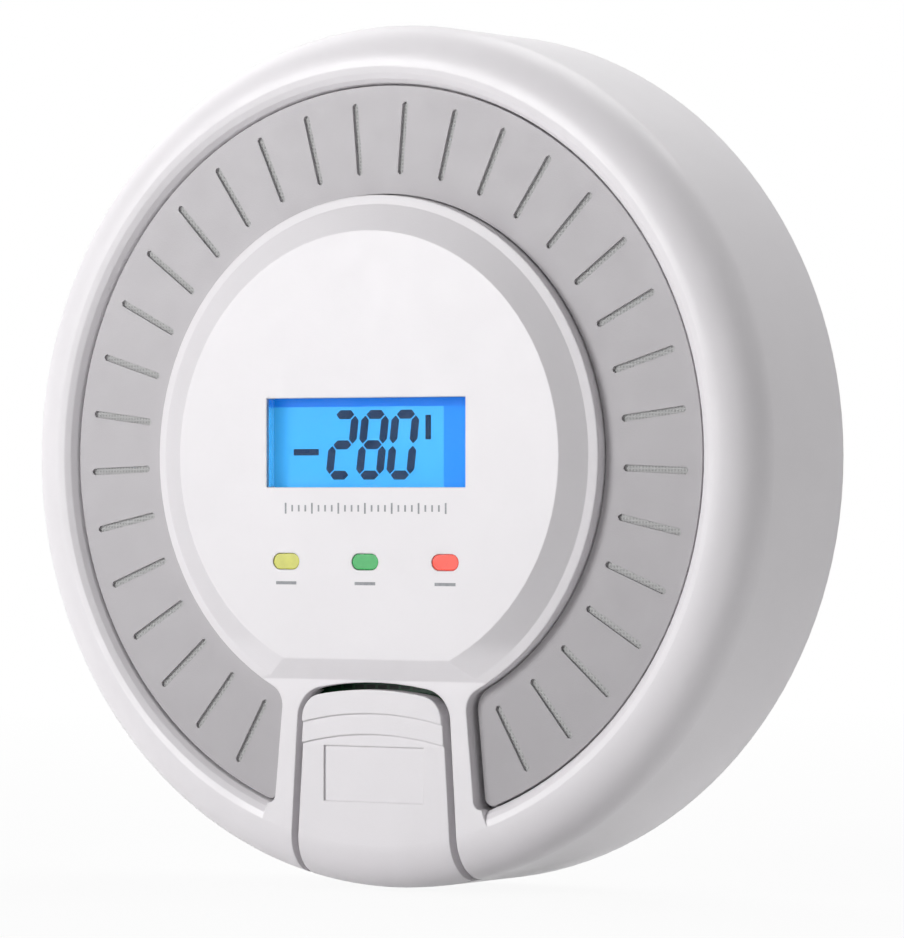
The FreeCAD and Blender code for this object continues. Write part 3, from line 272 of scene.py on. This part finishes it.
def painted_shade_low_right(tree, shade):
    """Painted shade: the grille's grey darkens towards its lower right end, where its shade is
    painted into the colour.
    """
    low, high = -45.0 * MM, 40.0 * MM
    upward, leftward = 0.86, 0.51
    point = coordinates(tree)
    rise = math_node(tree, "SUBTRACT", math_node(tree, "MULTIPLY", point["Z"], upward),
                     math_node(tree, "MULTIPLY", point["X"], leftward))
    return mixed(tree, map_range(tree, rise, low, high), GREY_PAINTED_SHADE, shade)


def backlight():
    """Azure glow, deeper along the top and the right edge."""
    band_foot, band_left = 6.9 * MM, 11.2 * MM
    top_blue, right_blue = (0.0, 0.115, 0.50), (0.004, 0.155, 0.53)
    material, tree, shader = new_material("lcd_glass")
    point = coordinates(tree)
    top = math_node(tree, "GREATER_THAN", point["Z"], band_foot)
    right = math_node(tree, "GREATER_THAN", point["X"], band_left)
    cloud = noise(tree, place(tree), scale=90.0)
    glow = ramp(tree, cloud, (0.024, 0.25, 0.57), (0.032, 0.27, 0.59))
    colour = mixed(tree, math_node(tree, "MAXIMUM", top, right), glow,
                   mixed(tree, top, right_blue, top_blue))
    tree.links.new(colour, shader.inputs["Base Color"])
    tree.links.new(colour, shader.inputs["Emission Color"])
    shader.inputs["Emission Strength"].default_value = 0.9
    shader.inputs["Roughness"].default_value = 0.35
    shader.inputs["Specular IOR Level"].default_value = 0.1
    return material


def striped_rubber():
    """Rubber with fine conducting layers across it."""
    layer_pitch = 0.4 * MM
    material, tree, shader = new_material("strip_rubber")
    wave = math_node(tree, "SINE", math_node(tree, "MULTIPLY", coordinates(tree)["X"],
                                             math.tau / layer_pitch))
    tree.links.new(ramp(tree, wave, (0.62, 0.30, 0.40), 0.03, stops=(0.45, 0.55)),
                   shader.inputs["Base Color"])
    shader.inputs["Roughness"].default_value = 0.7
    return material


def board_laminate():
    """Green solder mask with copper paths under it."""
    material, tree, shader = new_material("board_green")
    brick = tree.nodes.new("ShaderNodeTexBrick")
    for socket, value in (("Scale", 260.0), ("Mortar Size", 0.06),
                          ("Color1", (0.010, 0.060, 0.030, 1)),
                          ("Color2", (0.012, 0.070, 0.034, 1)),
                          ("Mortar", (0.025, 0.13, 0.06, 1))):
        brick.inputs[socket].default_value = value
    upright = tree.nodes.new("ShaderNodeMapping")
    upright.inputs["Rotation"].default_value = (math.pi / 2, 0, 0)
    tree.links.new(place(tree), upright.inputs["Vector"])
    tree.links.new(upright.outputs["Vector"], brick.inputs["Vector"])
    tree.links.new(brick.outputs["Color"], shader.inputs["Base Color"])
    shader.inputs["Roughness"].default_value = 0.3
    add_relief(tree, shader, brick.outputs["Fac"], 0.02 * MM)
    return material


def cell_jacket(side, plus_way):
    """Printed jacket: dark, with a bright band at the plus end and bare metal ends."""
    band_start, bare_start = 13.0 * MM, 24.3 * MM
    band_colour, bare_metal = (0.62, 0.33, 0.09), (0.66, 0.66, 0.66)
    material, tree, shader = new_material(f"cell_jacket_{side}")
    along = coordinates(tree)["X"]
    band = math_node(tree, "GREATER_THAN", math_node(tree, "MULTIPLY", along, plus_way),
                     band_start)
    bare = math_node(tree, "GREATER_THAN", math_node(tree, "ABSOLUTE", along), bare_start)
    speckle = noise(tree, place(tree), scale=700.0)
    colour = mixed(tree, band, ramp(tree, speckle, 0.022, 0.030), band_colour)
    tree.links.new(mixed(tree, bare, colour, bare_metal), shader.inputs["Base Color"])
    shader.inputs["Metallic"].default_value = 0.75
    shader.inputs["Roughness"].default_value = 0.3
    add_relief(tree, shader, speckle, 0.004 * MM, edge=0.4 * MM)
    return material


# Dressing of the carried-over pieces

WHITE = (0.873, 0.847, 0.873)
BUTTON_WHITE = (0.852, 0.826, 0.852)
BACK_WHITE = (0.80, 0.778, 0.80)
GREY = (0.545, 0.524, 0.545)
# Colour of the grille's painted shade at its lower right end.
GREY_PAINTED_SHADE = (0.418, 0.401, 0.418)

# Inner mouldings: material, colour, roughness
INNER_PLASTICS = {
    "lcd_frame": ("frame_plastic", (0.70, 0.70, 0.67), 0.5),
    "switch_body": ("black_plastic", (0.03, 0.03, 0.03), 0.5),
    "sounder_chamber": ("black_sounder_chamber", (0.025, 0.025, 0.027), 0.45),
    "microcontroller": ("black_microcontroller", (0.025, 0.025, 0.027), 0.45),
    "switch_plunger": ("switch_cap", (0.05, 0.05, 0.05), 0.4),
    "status_leds": ("led_resin", (0.85, 0.80, 0.55), 0.3),
    "storage_capacitor": ("capacitor_sleeve", (0.03, 0.04, 0.10), 0.35),
}

# Metal pieces: material, colour, roughness
METALS = {
    "gas_sensor_can": ("sensor_steel", (0.62, 0.62, 0.60), 0.35),
    "gas_sensor_pins": ("gold_pins", (0.80, 0.60, 0.25), 0.25),
    "piezo_brass_disc": ("disc_brass", (0.78, 0.58, 0.24), 0.3),
    "battery_contacts": ("contact_spring", (0.75, 0.75, 0.74), 0.28),
    "housing_screws": ("screw_housing_screws", (0.62, 0.63, 0.65), 0.32),
    "board_screws": ("screw_board_screws", (0.62, 0.63, 0.65), 0.32),
}

# Glowing windows: material, colour, glow, strength. The yellow one's glow is a painted glow, as
# its light is off.
LIT_WINDOWS = {
    "lcd_light_guide": ("light_guide", (0.8, 0.9, 1.0), (0.1, 0.5, 1.0), 0.6),
    # Painted glow: the yellow light is off, yet its window is given a glow.
    "light_pipe_yellow": ("pipe_yellow", (0.55, 0.55, 0.10), (0.62, 0.62, 0.12), 0.25),
    "light_pipe_green": ("pipe_green", (0.03, 0.36, 0.09), (0.03, 0.45, 0.10), 0.25),
    "light_pipe_red": ("pipe_red", (0.75, 0.06, 0.035), (1.0, 0.075, 0.04), 0.35),
}


def dress(node, material):
    """Give a carried-over node its material."""
    slots = nodes[node].data.materials
    if not len(slots):
        slots.append(material)
    for index in range(len(slots)):
        slots[index] = material


def dress_all():
    """Give every carried-over node its material."""
    dress("front_housing", plastic("white_shell", WHITE, 0.36, edge=0.35 * MM,
                                   over=deeper_bevel))
    dress("test_button", plastic("white_button", BUTTON_WHITE, 0.38, edge=0.3 * MM))
    back_plastic = plastic("white_moulding", BACK_WHITE, 0.5, grain=0.02 * MM,
                           edge=0.25 * MM)
    for node in ("rear_cover", "battery_door", "mounting_plate"):
        dress(node, back_plastic)
    # The grille's grey carries painted shade, darker towards its lower right end.
    dress("grille_ring", plastic("grey_grille", GREY, 0.52, grain=0.02 * MM, edge=0.15 * MM,
                                 painted_shade=painted_shade_low_right))
    dress("insect_mesh", woven_mesh("dark_mesh", 0.3, 0.55))
    dress("lcd_panel", backlight())
    dress("lcd_lens", clear_plastic("clear_lens", (0.96, 0.985, 1.0)))
    dress("lcd_strips", striped_rubber())
    dress("main_board", board_laminate())
    dress("battery_cell_upper", cell_jacket("right", 1.0))
    dress("battery_cell_lower", cell_jacket("left", -1.0))
    dress("gas_sensor_filter", plastic("filter_felt", (0.80, 0.80, 0.77), 0.95,
                                       grain=0.1 * MM, spread=0.2))
    dress("piezo_ceramic", plastic("ceramic", (0.78, 0.76, 0.70), 0.35, spread=0.08))
    dress("boost_coil", plastic("coil_ferrite", (0.06, 0.06, 0.065), 0.6, spread=0.3))
    for make, table in ((plastic, INNER_PLASTICS), (metal, METALS),
                        (lit_window, LIT_WINDOWS)):
        for node, settings in table.items():
            dress(node, make(*settings))


# Thin plates: outlines in millimetres, as (x, z) seen from the room

def add_plates(name, material, body, outlines, depth, thickness):
    """A piece of thin plates that face the room, from a depth towards it."""
    mesh = bpy.data.meshes.new(name)
    piece = bpy.data.objects.new(name, mesh)
    bpy.context.scene.collection.objects.link(piece)
    mesh.materials.append(material)
    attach(piece, body)
    shape = bmesh.new()
    for outline in outlines:
        face = shape.faces.new([shape.verts.new((x * MM, -depth, z * MM))
                                for x, z in outline])
        moved = bmesh.ops.extrude_face_region(shape, geom=[face])
        bmesh.ops.translate(shape, vec=(0, -thickness, 0),
                            verts=[part for part in moved["geom"]
                                   if isinstance(part, bmesh.types.BMVert)])
    bmesh.ops.recalc_face_normals(shape, faces=shape.faces)
    shape.to_mesh(mesh)
    shape.free()


def block(x, z, half_width, half_height):
    """A rectangle around its middle."""
    return [(x - half_width, z - half_height), (x + half_width, z - half_height),
            (x + half_width, z + half_height), (x - half_width, z + half_height)]


# The display's reading

SEGMENTS = {"0": "abcdef", "1": "bc", "2": "abged", "3": "abgcd", "4": "fgbc",
            "5": "afgcd", "6": "afgedc", "7": "abc", "8": "abcdefg", "9": "abcdfg"}
READING = "280"
DIGIT_LEFT, DIGIT_FOOT = -7.1, -2.6
DIGIT_WIDTH, DIGIT_HEIGHT, DIGIT_PITCH = 3.3, 8.4, 5.0
STROKE, STROKE_GAP, SLANT = 1.25, 0.15, 0.12
DASH = (-11.5, 0.6, 2.1, 0.45)
TALL_MARK = (8.7, 4.0, 0.45, 1.7)
SEGMENT_LIFT, SEGMENT_THICKNESS = 0.01 * MM, 0.03 * MM


def bar(start, end):
    """A segment's outline with pointed ends."""
    along = (end - start).normalized() * STROKE / 2
    across = Vector((-along.y, along.x))
    return [start, start + along + across, end - along + across,
            end, end - along - across, start + along - across]


def digit_outlines(digit, left):
    """The segments of one slanted digit."""
    width, height, half = DIGIT_WIDTH, DIGIT_HEIGHT, DIGIT_HEIGHT / 2
    ends = {"a": ((0, height), (width, height)), "b": ((width, height), (width, half)),
            "c": ((width, half), (width, 0)), "d": ((0, 0), (width, 0)),
            "e": ((0, half), (0, 0)), "f": ((0, height), (0, half)),
            "g": ((0, half), (width, half))}
    outlines = []
    for segment in SEGMENTS[digit]:
        start, end = (Vector(point) for point in ends[segment])
        inset = (end - start).normalized() * STROKE_GAP
        outlines.append([(left + point.x + (point.y - half) * SLANT, DIGIT_FOOT + point.y)
                         for point in bar(start + inset, end - inset)])
    return outlines


def add_reading():
    """The dark segments on the display's glass."""
    outlines = []
    for index, digit in enumerate(READING):
        outlines += digit_outlines(digit, DIGIT_LEFT + index * DIGIT_PITCH)
    outlines += [block(*DASH), block(*TALL_MARK)]
    add_plates("lcd_segments", ink("segment_ink", (0.002, 0.030, 0.10), 0.4),
               "alarm", outlines, panel_front + SEGMENT_LIFT, SEGMENT_THICKNESS)


# The prints on the cap

TICK_COUNT, TICK_PITCH, LONG_TICK_EVERY = 25, 1.1, 4
TICK_HEIGHT, TICK_HALF_WIDTH = -7.2, 0.14
LONG_TICK, SHORT_TICK = 0.75, 0.45
LIGHT_SPREAD, BAR_HEIGHT = 13.1, -17.6
BAR_HALF_WIDTH, BAR_HALF_HEIGHT = 1.7, 0.22
PRINT_SINK, PRINT_THICKNESS = 0.02 * MM, 0.03 * MM


def add_prints():
    """A plain scale of ticks under the display and a short bar under each light."""
    outlines = []
    for tick in range(TICK_COUNT):
        half_height = SHORT_TICK if tick % LONG_TICK_EVERY else LONG_TICK
        outlines.append(block((tick - (TICK_COUNT - 1) / 2) * TICK_PITCH, TICK_HEIGHT,
                              TICK_HALF_WIDTH, half_height))
    for side in (-1, 0, 1):
        outlines.append(block(side * LIGHT_SPREAD, BAR_HEIGHT, BAR_HALF_WIDTH,
                              BAR_HALF_HEIGHT))
    add_plates("cap_marks", ink("print_ink", (0.42, 0.43, 0.45), 0.6),
               "alarm", outlines, cap_front - PRINT_SINK, PRINT_THICKNESS)


# Fine screens in the grille's slots

SLOT_COUNT, SLOT_PITCH = 32, math.radians(9.73)
SLOT_INNER, SLOT_OUTER, SLOT_HALF, SLOT_CORNER = 39.2, 49.2, 0.45, 0.3
SCREEN_DEPTH, SCREEN_THICKNESS = 28.75 * MM, 0.12 * MM


def slot_outlines():
    """The outline of every slot, turned about the alarm's axis."""
    half, cut = SLOT_HALF, SLOT_CORNER
    upright = [(cut - half, SLOT_INNER), (half - cut, SLOT_INNER),
               (half, SLOT_INNER + cut), (half, SLOT_OUTER - cut),
               (half - cut, SLOT_OUTER), (cut - half, SLOT_OUTER),
               (-half, SLOT_OUTER - cut), (-half, SLOT_INNER + cut)]
    turns = [(index - (SLOT_COUNT - 1) / 2) * SLOT_PITCH for index in range(SLOT_COUNT)]
    return [[(x * math.cos(turn) + z * math.sin(turn), z * math.cos(turn) - x * math.sin(turn))
             for x, z in upright] for turn in turns]


# Floor, light and camera

MIDDLE_DEPTH = 16.5 * MM
FLOOR_DROP, FLOOR_HALF_SIZE, FLOOR_GREY = 60.4 * MM, 3.0, (0.8, 0.8, 0.8, 1.0)
# The share of plain white in the floor that is seen, near the alarm; it fades to all white
NEAR_WHITE, FADE_START, FADE_END = 0.93, 0.12, 0.6
WORLD_STRENGTH = 0.1
LAMP_DISTANCE = 1.2
# Each lamp: azimuth, elevation, power, width
LAMPS = {
    "key": (-30, 14, 9.1, 0.5),
    "top": (0, 85, 1.3, 0.9),
    "left_rim": (-110, 40, 2.9, 0.9),
    "right_rim": (110, 40, 2.3, 0.9),
    "back": (180, 60, 6.3, 0.9),
}
CAMERA_AZIMUTH, CAMERA_ELEVATION = 32.28, -0.20
CAMERA_DISTANCE = 0.7673
CAMERA_SIDE, CAMERA_RISE = 3.16 * MM, -1.72 * MM
LENS_MM, SENSOR_MM = 209.37, 36.0


def direction(azimuth, elevation):
    """The way from the alarm; azimuth 0 is straight in front, 90 to the right."""
    a, e = math.radians(azimuth), math.radians(elevation)
    return Vector((math.sin(a) * math.cos(e), -math.cos(a) * math.cos(e), math.sin(e)))


def seen_rays(tree):
    """1 where the camera looks, also by a reflection or through glass."""
    path = tree.nodes.new("ShaderNodeLightPath")
    direct = math_node(tree, "MAXIMUM", path.outputs["Is Camera Ray"],
                       path.outputs["Is Glossy Ray"])
    return math_node(tree, "MAXIMUM", direct, path.outputs["Is Transmission Ray"])


def mix_shaders(tree, share, first, second, output):
    """The output's surface: the second shader in a share, and the first in the rest."""
    mix = tree.nodes.new("ShaderNodeMixShader")
    for socket, source in zip(mix.inputs, (share, first.outputs[0], second.outputs[0])):
        tree.links.new(source, socket)
    tree.links.new(mix.outputs[0], output.inputs["Surface"])


def floor_material():
    """Pale grey that catches the shadow, seen as nearly white."""
    material = bpy.data.materials.new("floor")
    tree, output = fresh_tree(material, "ShaderNodeOutputMaterial")
    diffuse = tree.nodes.new("ShaderNodeBsdfDiffuse")
    diffuse.inputs["Color"].default_value = FLOOR_GREY
    white = tree.nodes.new("ShaderNodeEmission")
    white.inputs["Strength"].default_value = 1.0
    far = tree.nodes.new("ShaderNodeVectorMath")
    far.operation = "LENGTH"
    tree.links.new(place(tree), far.inputs[0])
    fade = map_range(tree, far.outputs["Value"], FADE_START, FADE_END)
    paleness = math_node(tree, "ADD", NEAR_WHITE,
                         math_node(tree, "MULTIPLY", fade, 1 - NEAR_WHITE))
    share = math_node(tree, "MULTIPLY", seen_rays(tree), paleness)
    mix_shaders(tree, share, diffuse, white, output)
    return material


def add_floor():
    """A level floor under the alarm."""
    mesh = bpy.data.meshes.new("floor")
    half = FLOOR_HALF_SIZE
    mesh.from_pydata([(-half, -half, 0), (half, -half, 0), (half, half, 0), (-half, half, 0)],
                     [], [(0, 1, 2, 3)])
    mesh.materials.append(floor_material())
    floor = bpy.data.objects.new("floor", mesh)
    floor.location.z = -FLOOR_DROP
    bpy.context.scene.collection.objects.link(floor)


def add_world():
    """Faint light from all sides, seen as white."""
    world = bpy.data.worlds.new("studio")
    bpy.context.scene.world = world
    tree, output = fresh_tree(world, "ShaderNodeOutputWorld")
    light = tree.nodes.new("ShaderNodeBackground")
    light.inputs["Strength"].default_value = WORLD_STRENGTH
    white = tree.nodes.new("ShaderNodeBackground")
    white.inputs["Color"].default_value = (1, 1, 1, 1)
    mix_shaders(tree, seen_rays(tree), light, white, output)


def add_lamp(name, azimuth, elevation, power, width):
    """A square softbox aimed at the alarm."""
    lamp = bpy.data.lights.new(name, "AREA")
    lamp.size = width
    lamp.energy = power
    holder = bpy.data.objects.new(name, lamp)
    bpy.context.scene.collection.objects.link(holder)
    way = direction(azimuth, elevation)
    holder.location = Vector((0, -MIDDLE_DEPTH, 0)) + way * LAMP_DISTANCE
    holder.rotation_euler = way.to_track_quat("Z", "Y").to_euler()


def add_camera():
    """The photograph's view of the alarm."""
    way = direction(CAMERA_AZIMUTH, CAMERA_ELEVATION)
    right = direction(CAMERA_AZIMUTH + 90, 0)
    rise = way.cross(right)
    target = Vector((0, -MIDDLE_DEPTH, 0)) + right * CAMERA_SIDE + rise * CAMERA_RISE
    data = bpy.data.cameras.new("camera")
    data.sensor_fit = "VERTICAL"
    data.sensor_height = SENSOR_MM
    data.lens = LENS_MM
    data.clip_start = 0.01
    camera = bpy.data.objects.new("camera", data)
    bpy.context.scene.collection.objects.link(camera)
    camera.location = target + way * CAMERA_DISTANCE
    camera.rotation_euler = Matrix((right, rise, way)).transposed().to_euler()
    bpy.context.scene.camera = camera


dress_all()
add_reading()
add_prints()
add_plates("slot_screens", woven_mesh("screen_cloth", 0.40, 0.50), "alarm",
           slot_outlines(), SCREEN_DEPTH, SCREEN_THICKNESS)
add_floor()
add_world()
for name, settings in LAMPS.items():
    add_lamp(name, *settings)
add_camera()
bpy.context.scene.view_settings.view_transform = "Standard"
